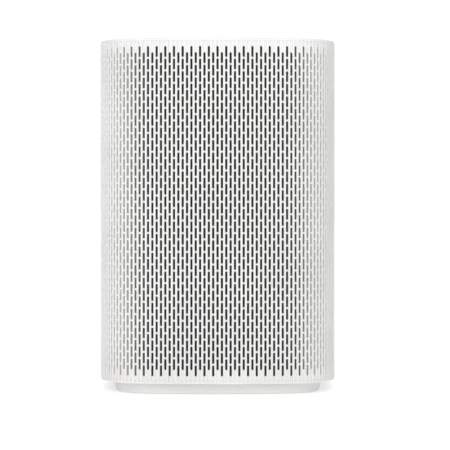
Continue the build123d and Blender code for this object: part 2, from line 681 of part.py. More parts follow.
TUBE_RADIUS = BEARING_RADIUS + 2.0
flange_top = MOUNT_Z + MOUNT_WALL
mount = tube(BEARING_RADIUS - 1.5, TUBE_RADIUS, tube_low, flange_top)
mount += tube(TUBE_RADIUS, MOUNT_RADIUS, MOUNT_Z, flange_top)
upper_bearing = MOUNT_Z - BEARING_HEIGHT
mount -= rod(BEARING_RADIUS + BEARING_SEAT_GAP, upper_bearing, flange_top + 1)
mount -= rod(BEARING_RADIUS + BEARING_SEAT_GAP, tube_low - 1, tube_low + BEARING_HEIGHT)
MOUNT_SCREW_RING = MOUNT_RADIUS - 6.0
motor_screws = []
for x, y, _ in around(3, MOUNT_SCREW_RING, 90):
    mount -= pilot(x, y, MOUNT_Z - 1, flange_top + 1)
    motor_screws.append(screw(x, y, MOUNT_Z, MOUNT_WALL + POD_WALL, False))
save(mount, "motor_mount")
save(Compound(children=motor_screws), "motor_screws")
bearing = tube(SHAFT_RADIUS + BEARING_BORE_GAP, BEARING_RADIUS, 0, BEARING_HEIGHT)
track_in, track_out, track_depth = BEARING_TRACK
bearing -= tube(track_in, track_out, -1, track_depth)
bearing -= tube(track_in, track_out, BEARING_HEIGHT - track_depth, BEARING_HEIGHT + 1)
bearings = [Pos(0, 0, tube_low) * bearing, Pos(0, 0, upper_bearing) * bearing]
save(Compound(children=bearings), "bearings")
core_low = cup_low + 5.0
core_high = MOUNT_Z - 5.5
core = tube(TUBE_RADIUS + FIT, TUBE_RADIUS + 3.0, core_low, core_high)
windings = []
tooth_inner = TUBE_RADIUS + 2.0
shoe_inner = CORE_RADIUS - SHOE_WALL
shoe_ring = tube(shoe_inner, CORE_RADIUS, core_low, core_high)
for x, y, turn in around(TEETH, (tooth_inner + CORE_RADIUS) / 2):
    place = Pos(x, y, (core_low + core_high) / 2) * Rot(0, 0, turn)
    core += place * Box(CORE_RADIUS - tooth_inner - 1.0, TOOTH, core_high - core_low)
    gap_place = Rot(0, 0, turn + 180.0 / TEETH) * Pos(CORE_RADIUS, 0, (core_low + core_high) / 2)
    shoe_ring -= gap_place * Box(6.0, 2.0, core_high - core_low + 1)
core += shoe_ring
coil_inner = tooth_inner + 1.6
coil_outer = shoe_inner - 0.4
for _, _, turn in around(TEETH, 1.0):
    place = Rot(0, 0, turn) * Pos((coil_inner + coil_outer) / 2, 0, (core_low + core_high) / 2)
    coil = Box(coil_outer - coil_inner, TOOTH + 2 * COIL_WALL, core_high - core_low + 2 * COIL_WALL)
    coil -= Box(coil_outer - coil_inner + 1, TOOTH + 2 * FIT, core_high - core_low + 2 * FIT)
    windings.append(place * coil)
save(core, "motor_core")
save(Compound(children=windings), "motor_windings")

# Fan housing, guide vanes and the pod that holds the motor.
DIFFUSER_LOW = flange_top + 3.0
DIFFUSER_TOP = DUCT_TOP - 12.0
LEAD_Z = DIFFUSER_TOP - 4.6
PANEL_LEAD_Z = DIFFUSER_TOP - 8.2
pcb_front = CORNER_OUT + BOARD_OUT
connector_face = pcb_front - BOARD_PARTS


def diagonal_rod(radius, inner, outer, across, height, quadrant):
    """A cylinder that lies along a diagonal."""
    x, y = diagonal((inner + outer) / 2, across, quadrant)
    return Pos(x, y, height) * Rot(0, 0, 45 + 90 * quadrant) * Rot(0, 90, 0) * Cylinder(radius, outer - inner)


lead_holes = [
    diagonal_rod(LEAD_RADIUS + LEAD_GAP, POD_RADIUS - 8, DUCT_RADIUS + 4, -LEAD_STEP, LEAD_Z, 2),
    diagonal_rod(LEAD_RADIUS + LEAD_GAP, POD_RADIUS - 8, DUCT_RADIUS + 4, LEAD_STEP, PANEL_LEAD_Z, 2),
]
housing = tube(DUCT_BORE, DUCT_RADIUS, FAN_Z, DUCT_TOP)
DECK_BOSS_Z = DUCT_TOP + 4.0
for x, y in column_places:
    web_turn = degrees(atan2(y, x))
    web_middle = Pos(DUCT_RADIUS + 3.5, 0, (FAN_Z + DUCT_TOP) / 2)
    web = Rot(0, 0, web_turn) * web_middle * Box(9.0, 2.5, DUCT_TOP - FAN_Z)
    housing += rod(FAN_COLUMN, FAN_Z, DECK_BOSS_Z, x, y) + web
    housing -= rod(DECK_PIN + FIT, DECK_BOSS_Z - DECK_PIN_LENGTH - 1, DECK_BOSS_Z + 1, x, y)
    housing -= pilot(x, y, FAN_Z - 1, FAN_Z + 12.0)
housing -= rod(DUCT_BORE, FAN_Z - 1, DUCT_TOP + 1)
housing -= lead_holes
save(housing, "fan_housing")

diffuser = rod(POD_RADIUS, flange_top, DIFFUSER_TOP)
diffuser -= rod(POD_RADIUS - POD_WALL, flange_top + POD_WALL, DIFFUSER_TOP + 1)
ring_outer = DUCT_BORE - RUN_GAP / 3
ring_inner = ring_outer - 1.8
diffuser += tube(ring_inner, ring_outer, DIFFUSER_LOW, DIFFUSER_TOP)
vane_height = DIFFUSER_TOP - DIFFUSER_LOW - 3.0
vane_span = ring_outer - POD_RADIUS
vane_zone = tube(POD_RADIUS - 1.0, ring_outer - 0.9, DIFFUSER_LOW, DIFFUSER_TOP)
vane_first = 225.0 - 180.0 / VANES
for x, y, turn in around(VANES, POD_RADIUS + vane_span / 2, vane_first):
    vane = Pos(x, y, (DIFFUSER_LOW + DIFFUSER_TOP) / 2) * Rot(0, 0, turn) * Rot(VANE_LEAN, 0, 0)
    diffuser += vane * Box(vane_span + 4.0, VANE_WALL, vane_height) & vane_zone
diffuser -= lead_holes
for x, y, _ in around(3, MOUNT_SCREW_RING, 90):
    diffuser -= pilot(x, y, flange_top - 1, flange_top + POD_WALL + 1)
drop_x, drop_y = diagonal(WIRE_DROP, -LEAD_STEP, 2)
diffuser -= rod(LEAD_RADIUS + LEAD_GAP, flange_top - 1, flange_top + POD_WALL + 1, drop_x, drop_y)
save(diffuser, "diffuser")
rise_x, rise_y = diagonal(PANEL_DROP, LEAD_STEP, 2)
motor_cover = rod(POD_RADIUS, DIFFUSER_TOP, DIFFUSER_TOP + COVER_DOME)
motor_cover = fillet(motor_cover.edges().group_by(Axis.Z)[-1], DOME_ROUND)
motor_cover -= rod(POD_RADIUS - 5.0, DIFFUSER_TOP - 1, DIFFUSER_TOP + COVER_DOME - DOME_WALL)
motor_cover -= rod(LEAD_RADIUS + LEAD_GAP, DIFFUSER_TOP - 1, DIFFUSER_TOP + COVER_DOME + 1, rise_x, rise_y)
save(motor_cover, "motor_cover")

# Deck: the top rim, the outlet collar, the skirt that the covers locate on, and four pins.
LEDGE_LOW = DUCT_TOP + 3.0
LEDGE_TOP = DUCT_TOP + 6.0
rim = slab(0, COVER_TOP, BODY_HEIGHT)
rim = fillet(rim.edges().group_by(Axis.Z)[-1], RIM_ROUND)
rim -= rod(COLLAR_BORE, COVER_TOP - 1, BODY_HEIGHT + 1)
mouth = rim.edges().filter_by(GeomType.CIRCLE).filter_by(lambda edge: edge.radius < COLLAR_BORE + 1)
rim = fillet(mouth.group_by(Axis.Z)[-1], MOUTH_ROUND)
deck = rim + wall(LINER_INSET, SKIRT_WALL, COVER_TOP - SKIRT_DEPTH, COVER_TOP)
deck += tube(COLLAR_BORE, COLLAR_BORE + COLLAR_WALL, DUCT_TOP + SEAL_HEIGHT, COVER_TOP)
deck += tube(COLLAR_BORE - 3.0, COLLAR_BORE + 1.0, LEDGE_LOW, LEDGE_TOP)
for x, y in column_places:
    deck += rod(FAN_COLUMN, DECK_BOSS_Z, COVER_TOP, x, y)
    deck += rod(DECK_PIN, DECK_BOSS_Z - DECK_PIN_LENGTH, DECK_BOSS_Z, x, y)
save(deck, "top_deck")
save(tube(COLLAR_BORE, DUCT_RADIUS, DUCT_TOP, DUCT_TOP + SEAL_HEIGHT), "deck_seal")

# Outlet grille: curved fins and three rings between a rim and the cup of the control disc.
GRILLE_LOW = LEDGE_TOP
GRILLE_TOP = COVER_TOP - GRILLE_DROP
cup_radius = PANEL_RADIUS + RUN_GAP
cup_outer = cup_radius + GRILLE_CUP
cup_floor = GRILLE_LOW
grille_outer = COLLAR_BORE - RUN_GAP / 3
grille = tube(cup_radius, cup_outer, cup_floor - GRILLE_CUP, GRILLE_TOP)
grille += rod(cup_outer, cup_floor - GRILLE_CUP, cup_floor)
fin_zone = tube(cup_outer - 1.0, grille_outer - 1.0, GRILLE_LOW, GRILLE_TOP)
fin = curved_fin(cup_outer - 1.5, grille_outer + 1.0, GRILLE_SWEEP, GRILLE_FIN, GRILLE_LOW, GRILLE_TOP, 0)
fin &= fin_zone
grille += [Rot(0, 0, turn) * fin for _, _, turn in around(GRILLE_FINS, 1.0)]
grille += tube(grille_outer - 2.0, grille_outer, GRILLE_LOW, GRILLE_TOP)
grille += [tube(radius, radius + GRILLE_RING, GRILLE_LOW + 1.0, GRILLE_TOP) for radius in GRILLE_RINGS]
BOARD_LOW = cup_floor + 1.0
grille += tube(10.0, 14.0, cup_floor, BOARD_LOW)
BOARD_RADIUS = PANEL_RADIUS - PANEL_WALL - BOARD_GAP
PANEL_SCREW_RING = BOARD_RADIUS - 4.0
panel_screw_places = around(3, PANEL_SCREW_RING, 90)
for x, y, _ in panel_screw_places:
    grille -= pilot(x, y, cup_floor - GRILLE_CUP - 1, cup_floor + 1)
grille -= rod(LEAD_RADIUS + LEAD_GAP, cup_floor - GRILLE_CUP - 1, cup_floor + 1, rise_x, rise_y)
save(grille, "outlet_grille")

# Control disc, its ring light, lenses, board and the power button.
PANEL_TOP = COVER_TOP + PANEL_PROUD
PLATE_LOW = PANEL_TOP - PANEL_PLATE
panel = rod(PANEL_RADIUS, cup_floor, PANEL_TOP)
panel = fillet(panel.edges().group_by(Axis.Z)[-1], PANEL_ROUND)
panel -= rod(PANEL_RADIUS - PANEL_WALL, cup_floor - 1, PLATE_LOW)
panel -= rod(BUTTON_RADIUS + BUTTON_GAP, PLATE_LOW - 1, PANEL_TOP + 1)
panel -= tube(RING_INNER - FIT, RING_OUTER + FIT, PANEL_TOP - RING_DEPTH, PANEL_TOP + 1)
ring_middle = (RING_INNER + RING_OUTER) / 2
pin_places = around(RING_PINS, ring_middle)
light_ring = tube(RING_INNER, RING_OUTER, PANEL_TOP - RING_DEPTH, PANEL_TOP)
for x, y, _ in pin_places:
    panel -= rod(PIN_LIGHT + FIT, PLATE_LOW - 1, PANEL_TOP, x, y)
    light_ring += rod(PIN_LIGHT, PLATE_LOW, PANEL_TOP - RING_DEPTH, x, y)
lens_turns = [270 + LENS_STEP * (k - (LENSES - 1) / 2) for k in range(LENSES)]
lens_places = [(LENS_RING * cos(radians(t)), LENS_RING * sin(radians(t))) for t in lens_turns]
for x, y in lens_places:
    panel -= rod(LENS_RADIUS + FIT, PLATE_LOW - 1, PANEL_TOP + 1, x, y)
panel_screws = []
board = rod(BOARD_RADIUS, BOARD_LOW, BOARD_LOW + BOARD_WALL)
for x, y, _ in panel_screw_places:
    panel += rod(SCREW_BOSS, cup_floor, PLATE_LOW, x, y)
    panel -= pilot(x, y, cup_floor - 1, PLATE_LOW - 0.5)
    board -= rod(SCREW_BOSS + 0.4, BOARD_LOW - 1, BOARD_LOW + 3, x, y)
    panel_screws.append(screw(x, y, cup_floor - GRILLE_CUP, GRILLE_CUP + 6.0, False))
save(panel, "control_panel")
save(light_ring, "light_ring")
lenses = [rod(LENS_RADIUS, PLATE_LOW, PANEL_TOP, x, y) for x, y in lens_places]
save(Compound(children=lenses), "indicator_lenses")
save(Compound(children=panel_screws), "panel_screws")
save(board, "control_board")
board_top = BOARD_LOW + BOARD_WALL
lamp_places = [(x, y) for x, y, _ in pin_places] + lens_places
lamp = Box(LED_SIZE, LED_SIZE, LED_HEIGHT)
lamps = [Pos(x, y, board_top + LED_HEIGHT / 2) * lamp for x, y in lamp_places]
save(Compound(children=lamps), "leds")
plunger_low = board_top + SWITCH_HEIGHT - PLUNGER_SINK
plunger_top = board_top + SWITCH_HEIGHT + 1.0
switch_body = block(-3, 3, -3, 3, board_top, board_top + SWITCH_HEIGHT)
switch_body -= rod(PLUNGER_RADIUS + 0.1, plunger_low - BUTTON_TRAVEL - 0.2, board_top + SWITCH_HEIGHT + 1)
save(switch_body, "switch_body")
save(rod(PLUNGER_RADIUS, plunger_low, plunger_top), "switch_plunger")
button = rod(BUTTON_RADIUS, PLATE_LOW - 1.3, BODY_HEIGHT)
button = fillet(button.edges().group_by(Axis.Z)[-1], BUTTON_ROUND)
button += rod(BUTTON_RADIUS + BUTTON_FLANGE, PLATE_LOW - 1.3, PLATE_LOW - 0.1)
button += rod(2.5, plunger_top, PLATE_LOW - 1.3)
save(button, "power_button")

# Electronics in the front-left corner of the fan bay, and the particle sensor in the front-right one.


def corner_block(inner, outer, across0, across1, z0, z1, quadrant):
    """A box set square to a diagonal."""
    x, y = diagonal((inner + outer) / 2, (across0 + across1) / 2, quadrant)
    size = (outer - inner, across1 - across0, z1 - z0)
    return Pos(x, y, (z0 + z1) / 2) * Rot(0, 0, 45 + 90 * quadrant) * Box(*size)


PCB_LOW = FAN_Z + PCB_LIFT
PCB_HIGH = PANEL_LEAD_Z + 10.0
pcb_back = pcb_front + BOARD_WALL
save(corner_block(pcb_front, pcb_back, -PCB_HALF, PCB_HALF, PCB_LOW, PCB_HIGH, 2), "main_board")
inlet_block = corner_block(connector_face, pcb_front, -4, 4, PCB_LOW - 1.0, PCB_LOW + 6.0, 2)
connectors = [
    corner_block(connector_face, pcb_front, across - 3, across + 3, height - 3, height + 3, 2)
    for across, height in ((-LEAD_STEP, LEAD_Z), (LEAD_STEP, PANEL_LEAD_Z))
]
chips = [
    corner_block(pcb_front - 1.5, pcb_front, -18, -10, PCB_LOW + 14, PCB_LOW + 22, 2),
    corner_block(pcb_front - 1.2, pcb_front, 8, 14, PCB_LOW + 26, PCB_LOW + 32, 2),
    corner_block(pcb_front - 6.0, pcb_front, 9, 19, PCB_LOW + 8, PCB_LOW + 18, 2),
]
can_places = ((-14, PCB_LOW + 34), (-14, PCB_LOW + 46), (0, PCB_LOW + 20))
cans = [diagonal_rod(3.2, pcb_front - 7.0, pcb_front, across, height, 2) for across, height in can_places]
save(Compound(children=[inlet_block, *connectors, *chips, *cans]), "board_parts")
bracket_back = pcb_back + 4.0
bracket = corner_block(bracket_back - 2.0, bracket_back, -BRACKET_HALF, BRACKET_HALF, FAN_Z, PCB_HIGH - 4, 2)
bracket += corner_block(pcb_back - 4.0, bracket_back, -BRACKET_HALF, BRACKET_HALF, FAN_Z, FAN_Z + 2.0, 2)
for across in (-9, 9):
    for height in (PCB_LOW + 6, PCB_HIGH - 10):
        bracket += diagonal_rod(2.2, pcb_back, pcb_back + 2.5, across, height, 2)
save(bracket, "board_bracket")

sensor_in = CORNER_OUT + SENSOR_OUT
sensor_out = sensor_in + SENSOR_DEPTH
sensor = corner_block(sensor_in, sensor_out, -SENSOR_HALF, SENSOR_HALF, FAN_Z, FAN_Z + SENSOR_HEIGHT, 3)
sensor -= corner_block(sensor_out - 1, sensor_out + 1, 4, 12, FAN_Z + 6, FAN_Z + 14, 3)
sensor -= diagonal_rod(9.0, sensor_out - 1, sensor_out + 1, -6, FAN_Z + 25, 3)
save(sensor, "particle_sensor")


# Wiring, each lead held from end to end.
def lead(points, bend, radius):
    """A round lead along straight runs with tangent bends."""
    path = FilletPolyline(*points, radius=bend)
    start = Plane(origin=path @ 0, z_dir=path % 0)
    return sweep(start * Circle(radius), path=path)


jack_back = plinth_back - JACK_LENGTH
harness_points = [
    (0, jack_back, JACK_Z),
    (0, jack_back - 26.0, JACK_Z),
    (cable_x * 0.62, cable_y * 0.28, JACK_Z),
    (cable_x, cable_y, JACK_Z),
    (cable_x, cable_y, PCB_LOW - 1.0),
]
save(lead(harness_points, [12.0, 20.0, 4.0], CABLE_RADIUS), "power_harness")
clips = []
post_side = -FRONT_POST_X - FRONT_POST / 2
for height in (SEAT_Z + 60.0, SEAT_Z + 150.0):
    clip_top = height + CLIP_HEIGHT
    clip = block(cable_x - 3.0, post_side, cable_y - 4.0, cable_y + 3.0, height, clip_top)
    clips.append(clip - rod(CABLE_RADIUS + FIT, height - 1, clip_top + 1, cable_x, cable_y))
save(Compound(children=clips), "cable_clips")
motor_points = [
    (*diagonal(connector_face, -LEAD_STEP, 2), LEAD_Z),
    (drop_x, drop_y, LEAD_Z),
    (drop_x, drop_y, flange_top),
]
save(lead(motor_points, LEAD_BEND, LEAD_RADIUS), "motor_lead")
panel_points = [
    (*diagonal(connector_face, LEAD_STEP, 2), PANEL_LEAD_Z),
    (rise_x, rise_y, PANEL_LEAD_Z),
    (rise_x, rise_y, BOARD_LOW),
]
save(lead(panel_points, LEAD_BEND, LEAD_RADIUS), "panel_lead")
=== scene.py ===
import bmesh
import bpy
from math import atan2, cos, pi, radians, sin, sqrt
from mathutils import Matrix, Vector


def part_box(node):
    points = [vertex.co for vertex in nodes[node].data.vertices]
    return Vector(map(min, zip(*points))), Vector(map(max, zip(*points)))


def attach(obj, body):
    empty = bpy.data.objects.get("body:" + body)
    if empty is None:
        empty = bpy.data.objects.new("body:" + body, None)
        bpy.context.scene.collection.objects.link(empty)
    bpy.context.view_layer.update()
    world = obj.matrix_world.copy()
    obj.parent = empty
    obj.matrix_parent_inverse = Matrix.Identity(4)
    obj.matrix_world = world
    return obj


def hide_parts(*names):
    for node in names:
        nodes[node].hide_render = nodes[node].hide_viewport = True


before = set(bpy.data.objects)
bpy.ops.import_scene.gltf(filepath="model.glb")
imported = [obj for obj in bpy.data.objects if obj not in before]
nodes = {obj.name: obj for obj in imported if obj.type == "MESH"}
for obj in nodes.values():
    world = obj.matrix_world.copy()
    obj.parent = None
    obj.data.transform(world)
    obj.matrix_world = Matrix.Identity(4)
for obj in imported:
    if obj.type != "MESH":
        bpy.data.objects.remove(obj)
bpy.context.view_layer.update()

# Studio
# A long lens looks level at the body from the front, over a white table that glows faintly. The room
# is a white dome that dims towards its sides, and two soft panels stand in front, left and right.
bpy.context.scene.view_settings.view_transform = "Standard"
camera_data = bpy.data.cameras.new("front_view")
camera_data.sensor_width = 36.0
camera_data.lens = 151.0
camera_data.shift_x = 0.0165
camera_data.shift_y = -0.0767
camera_data.clip_end = 50.0
camera = bpy.data.objects.new("front_view", camera_data)
bpy.context.scene.collection.objects.link(camera)
camera.location = (0.0, -1.9555, 0.200)
camera.rotation_euler = (radians(90), 0, 0)
bpy.context.scene.camera = camera


class Tone:
    """A number on its way through a node tree. Expressions on it add their Math nodes."""

    def __init__(self, graph, socket):
        self.graph = graph
        self.socket = socket

    def math(self, operation, *values):
        inputs = {f"i{key}": value for key, value in enumerate(values)}
        return self.graph.node("ShaderNodeMath", {"operation": operation}, **inputs).out(0)

    def __add__(self, other):
        return self.math("ADD", self, other)

    def __sub__(self, other):
        return self.math("SUBTRACT", self, other)

    def __rsub__(self, other):
        return self.math("SUBTRACT", other, self)

    def __mul__(self, other):
        return self.math("MULTIPLY", self, other)

    def __truediv__(self, other):
        return self.math("DIVIDE", self, other)

    __radd__ = __add__
    __rmul__ = __mul__

    def sine(self):
        return self.math("SINE", self)

    def size(self):
        return self.math("ABSOLUTE", self)

    def larger(self, other):
        return self.math("MAXIMUM", self, other)

    def root(self):
        return self.math("SQRT", self)

    def over(self, limit):
        return self.math("GREATER_THAN", self, limit)

    def under(self, limit):
        return self.math("LESS_THAN", self, limit)

    def within(self, low, high):
        """1 between low and high, 0 elsewhere."""
        return self.over(low) * self.under(high)

    def step(self, low, high):
        """0 below low, 1 above high and smooth between."""
        ramp = {"interpolation_type": "SMOOTHSTEP"}
        made = self.graph.node("ShaderNodeMapRange", ramp, Value=self, From_Min=low, From_Max=high)
        return made.out(0)


class Made:
    """A node that has been added, whose outputs come out as Tones."""

    def __init__(self, graph, node):
        self.graph = graph
        self.node = node

    def out(self, key):
        return Tone(self.graph, self.node.outputs[key])


class Graph:
    """A node tree that is built from expressions."""

    def __init__(self, tree):
        self.tree = tree

    def node(self, kind, settings=(), **inputs):
        """Adds a node, sets its settings, then gives its sockets their values or links."""
        added = self.tree.nodes.new(kind)
        for name, value in dict(settings).items():
            setattr(added, name, value)
        for name, value in inputs.items():
            key = int(name[1:]) if name[1:].isdigit() else name.replace("_", " ")
            self.plug(added.inputs[key], value)
        return Made(self, added)

    def plug(self, socket, value):
        if isinstance(value, Tone):
            self.tree.links.new(value.socket, socket)
        elif isinstance(value, tuple) and socket.type == "RGBA":
            socket.default_value = (*value, 1.0)
        else:
            socket.default_value = value

    def mix(self, mask, first, second):
        """A colour between two others, by mask."""
        return self.node("ShaderNodeMix", {"data_type": "RGBA"}, i0=mask, i6=first, i7=second).out(2)


class Finish(Graph):
    """One material, on Object coordinates in metres."""

    def __init__(self, name, **constants):
        self.material = bpy.data.materials.new(name)
        self.material.use_nodes = True
        super().__init__(self.material.node_tree)
        self.shader = self.tree.nodes["Principled BSDF"]
        for socket, value in constants.items():
            self.plug(self.shader.inputs[socket.replace("_", " ")], value)

    def place(self, stretch=(1, 1, 1)):
        where = self.node("ShaderNodeTexCoord").out("Object")
        return self.node("ShaderNodeMapping", Vector=where, Scale=stretch).out(0)

    def axes(self):
        split = self.node("ShaderNodeSeparateXYZ", Vector=self.place())
        return split.out("X"), split.out("Y"), split.out("Z")

    def noise(self, scale, detail=2.0, stretch=(1, 1, 1)):
        where = self.place(stretch)
        return self.node("ShaderNodeTexNoise", Vector=where, Scale=scale, Detail=detail).out(0)

    def cells(self, scale, stretch=(1, 1, 1)):
        """Distance from the middle of random cells."""
        where = self.place(stretch)
        return self.node("ShaderNodeTexVoronoi", Vector=where, Scale=scale).out("Distance")

    def facing_up(self):
        normal = self.node("ShaderNodeNewGeometry").out("Normal")
        return self.node("ShaderNodeSeparateXYZ", Vector=normal).out("Z").step(0.6, 0.95)

    def feed(self, socket, tone):
        self.plug(self.shader.inputs[socket], tone)

    def relief(self, height, depth, strength=1.0):
        """Bumps the surface by height, where 1 stands depth metres proud."""
        bump = self.node("ShaderNodeBump", Height=height, Distance=depth, Strength=strength)
        self.feed("Normal", bump.out(0))


def dress(finish, *names):
    """Gives CAD nodes a finish, in place of the plain one that they carry."""
    for name in names:
        for place in nodes[name].material_slots:
            place.material = finish.material


floor_finish = Finish("lit_table", Roughness=0.95, Emission_Color=(1.0, 1.0, 1.0), Emission_Strength=0.3)
floor_tint = floor_finish.mix(floor_finish.noise(3.0), (0.91, 0.91, 0.91), (0.93, 0.93, 0.93))
floor_finish.feed("Base Color", floor_tint)
floor_mesh = bpy.data.meshes.new("floor")
bm = bmesh.new()
bmesh.ops.create_grid(bm, x_segments=1, y_segments=1, size=12.0)
bm.to_mesh(floor_mesh)
bm.free()
floor_mesh.materials.append(floor_finish.material)
floor = bpy.data.objects.new("floor", floor_mesh)
bpy.context.scene.collection.objects.link(floor)

room = bpy.data.worlds.new("room")
bpy.context.scene.world = room
room.use_nodes = True
dome = Graph(room.node_tree)
direction = dome.node("ShaderNodeTexCoord").out("Generated")
spread = dome.node("ShaderNodeSeparateXYZ", Vector=direction)
overhead = spread.out("Z").step(0.25, 0.95) * 0.35
side_shade = spread.out("X").size().step(0.15, 0.8) * 0.62
front_shade = (0.0 - spread.out("Y")).step(-0.2, 0.6) * 0.2
sky = room.node_tree.nodes["Background"].inputs
sky["Color"].default_value = (1.0, 1.0, 1.0, 1.0)
dome.plug(sky["Strength"], 1.03 + overhead - side_shade - front_shade)
for name, place, size, power in (
    ("left_panel", (-0.8, -2.2, 0.95), 1.2, 14.0),
    ("right_panel", (0.5, -2.3, 0.7), 1.2, 6.0),
):
    lamp = bpy.data.lights.new(name, "AREA")
    lamp.size = size
    lamp.energy = power
    panel = bpy.data.objects.new(name, lamp)
    bpy.context.scene.collection.objects.link(panel)
    panel.location = place
    panel.rotation_euler = (Vector((0, 0, 0.2)) - Vector(place)).to_track_quat("-Z", "Y").to_euler()

# Fluted covers
# Two injection-moulded half shells of warm white plastic, matte from a spark-eroded mould. Upright
# ribs alternate with grooves, and a row of pill-shaped slots is cut through every groove's floor.
BOW_RADIUS = 0.632
CORNER_RADIUS = 0.0526
COLUMNS = 198
WALL = 0.0036
GROOVE_DEPTH = 0.0011
GROOVE_WIDTH = 0.00235
SLOT_WIDTH = 0.00215
SLOT_LENGTH = 0.0107
SLOT_PITCH = 0.0122
SLOT_ROWS = 26
SEAM = 0.0003
FRONT_FIRST = -(COLUMNS // 4)
_, deck_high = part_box("top_deck")
half_width = deck_high.x
side_shift = BOW_RADIUS - half_width
arc_step = BOW_RADIUS - CORNER_RADIUS
corner = (sqrt(2 * arc_step**2 - side_shift**2) - side_shift) / 2
bow_angle = atan2(corner, side_shift + corner)
bow_length = 2 * BOW_RADIUS * bow_angle
quarter_length = bow_length + CORNER_RADIUS * (pi / 2 - 2 * bow_angle)
column_pitch = 4 * quarter_length / COLUMNS


def wrap(flat):
    """Bends a flat point round the body: x runs along the outline from the front, y is depth below it."""
    quarter, along = divmod(flat.x + bow_length / 2, quarter_length)
    if along < bow_length:
        turn = along / BOW_RADIUS - bow_angle
        reach = BOW_RADIUS - flat.y
        bent = Vector((reach * sin(turn), side_shift - reach * cos(turn), flat.z))
    else:
        turn = bow_angle + (along - bow_length) / CORNER_RADIUS
        reach = CORNER_RADIUS - flat.y
        bent = Vector((corner + reach * sin(turn), -corner - reach * cos(turn), flat.z))
    return Matrix.Rotation(quarter * pi / 2, 3, "Z") @ bent


def repeat(bm, geometry, count, step):
    """Copies geometry count - 1 times, each one step on from the last."""
    for number in range(1, count):
        copy = bmesh.ops.duplicate(bm, geom=geometry)["geom"]
        moved = [item for item in copy if isinstance(item, bmesh.types.BMVert)]
        bmesh.ops.translate(bm, verts=moved, vec=step * number)


def everything(bm):
    return bm.verts[:] + bm.edges[:] + bm.faces[:]


def panel_strip(bm, x0, x1, z0, z1):
    """One plain rectangle of the cover's wall."""
    corners = [bm.verts.new((x, GROOVE_DEPTH, z)) for x, z in ((x0, z0), (x1, z0), (x1, z1), (x0, z1))]
    bm.faces.new(corners)


def slot_column(raised, low, high):
    """One groove's floor with its slots. Neighbouring columns are raised and lowered in turn."""
    facets = 12
    half_facet = pi / facets
    bm = bmesh.new()
    middle = (low + high) / 2
    half = column_pitch / 2
    first = middle - SLOT_ROWS * SLOT_PITCH / 2 + (SLOT_PITCH / 4 if raised else -SLOT_PITCH / 4)
    corner_radius = SLOT_WIDTH / 2 / cos(half_facet)
    hole = bmesh.ops.create_circle(bm, segments=facets, radius=corner_radius)["verts"]
    bmesh.ops.rotate(bm, verts=hole, matrix=Matrix.Rotation(half_facet, 3, "Z"))
    bmesh.ops.rotate(bm, verts=hole, matrix=Matrix.Rotation(radians(90), 3, "X"))
    stretch = (SLOT_LENGTH - SLOT_WIDTH) / 2
    for vert in hole:
        vert.co.z += stretch if vert.co.z > 0 else -stretch
    bmesh.ops.translate(bm, verts=hole, vec=(0, GROOVE_DEPTH, first + SLOT_PITCH / 2))
    rim = [
        bm.verts.new((x, GROOVE_DEPTH, first + z))
        for x, z in (
            (-half, 0),
            (half, 0),
            (half, SLOT_PITCH / 2),
            (half, SLOT_PITCH),
            (-half, SLOT_PITCH),
            (-half, SLOT_PITCH / 2),
        )
    ]
    for start, end in zip(rim, rim[1:] + rim[:1]):
        bm.edges.new((start, end))
    bmesh.ops.triangle_fill(bm, use_beauty=True, edges=bm.edges[:])
    repeat(bm, everything(bm), SLOT_ROWS, Vector((0, 0, SLOT_PITCH)))
    last = first + SLOT_ROWS * SLOT_PITCH
    if raised:
        panel_strip(bm, -half, half, first - SLOT_PITCH / 2, first)
        first -= SLOT_PITCH / 2
    else:
        panel_strip(bm, -half, half, last, last + SLOT_PITCH / 2)
        last += SLOT_PITCH / 2
    panel_strip(bm, -half, half, low, first)
    panel_strip(bm, -half, half, last, high)
    bmesh.ops.remove_doubles(bm, verts=bm.verts[:], dist=1e-6)
    return bm


def rib(bm, x, width, low, high):
    """One upright rib with rounded crest edges, let a little way into the wall."""
    bite = 0.0002
    crest_round = 0.0004
    root = GROOVE_DEPTH + bite
    bar = bmesh.ops.create_cube(bm, size=1.0)["verts"]
    bmesh.ops.scale(bm, verts=bar, vec=(width, root, high - low))
    bmesh.ops.translate(bm, verts=bar, vec=(x, root / 2, (low + high) / 2))
    crest = [
        edge
        for edge in bm.edges
        if edge.verts[0] in bar
        and all(vert.co.y < 1e-6 for vert in edge.verts)
        and abs(edge.verts[0].co.z - edge.verts[1].co.z) > 0.01
    ]
    rounding = {"affect": "EDGES", "segments": 2, "profile": 0.5, "material": -1}
    bmesh.ops.bevel(bm, geom=crest, offset=crest_round, **rounding)


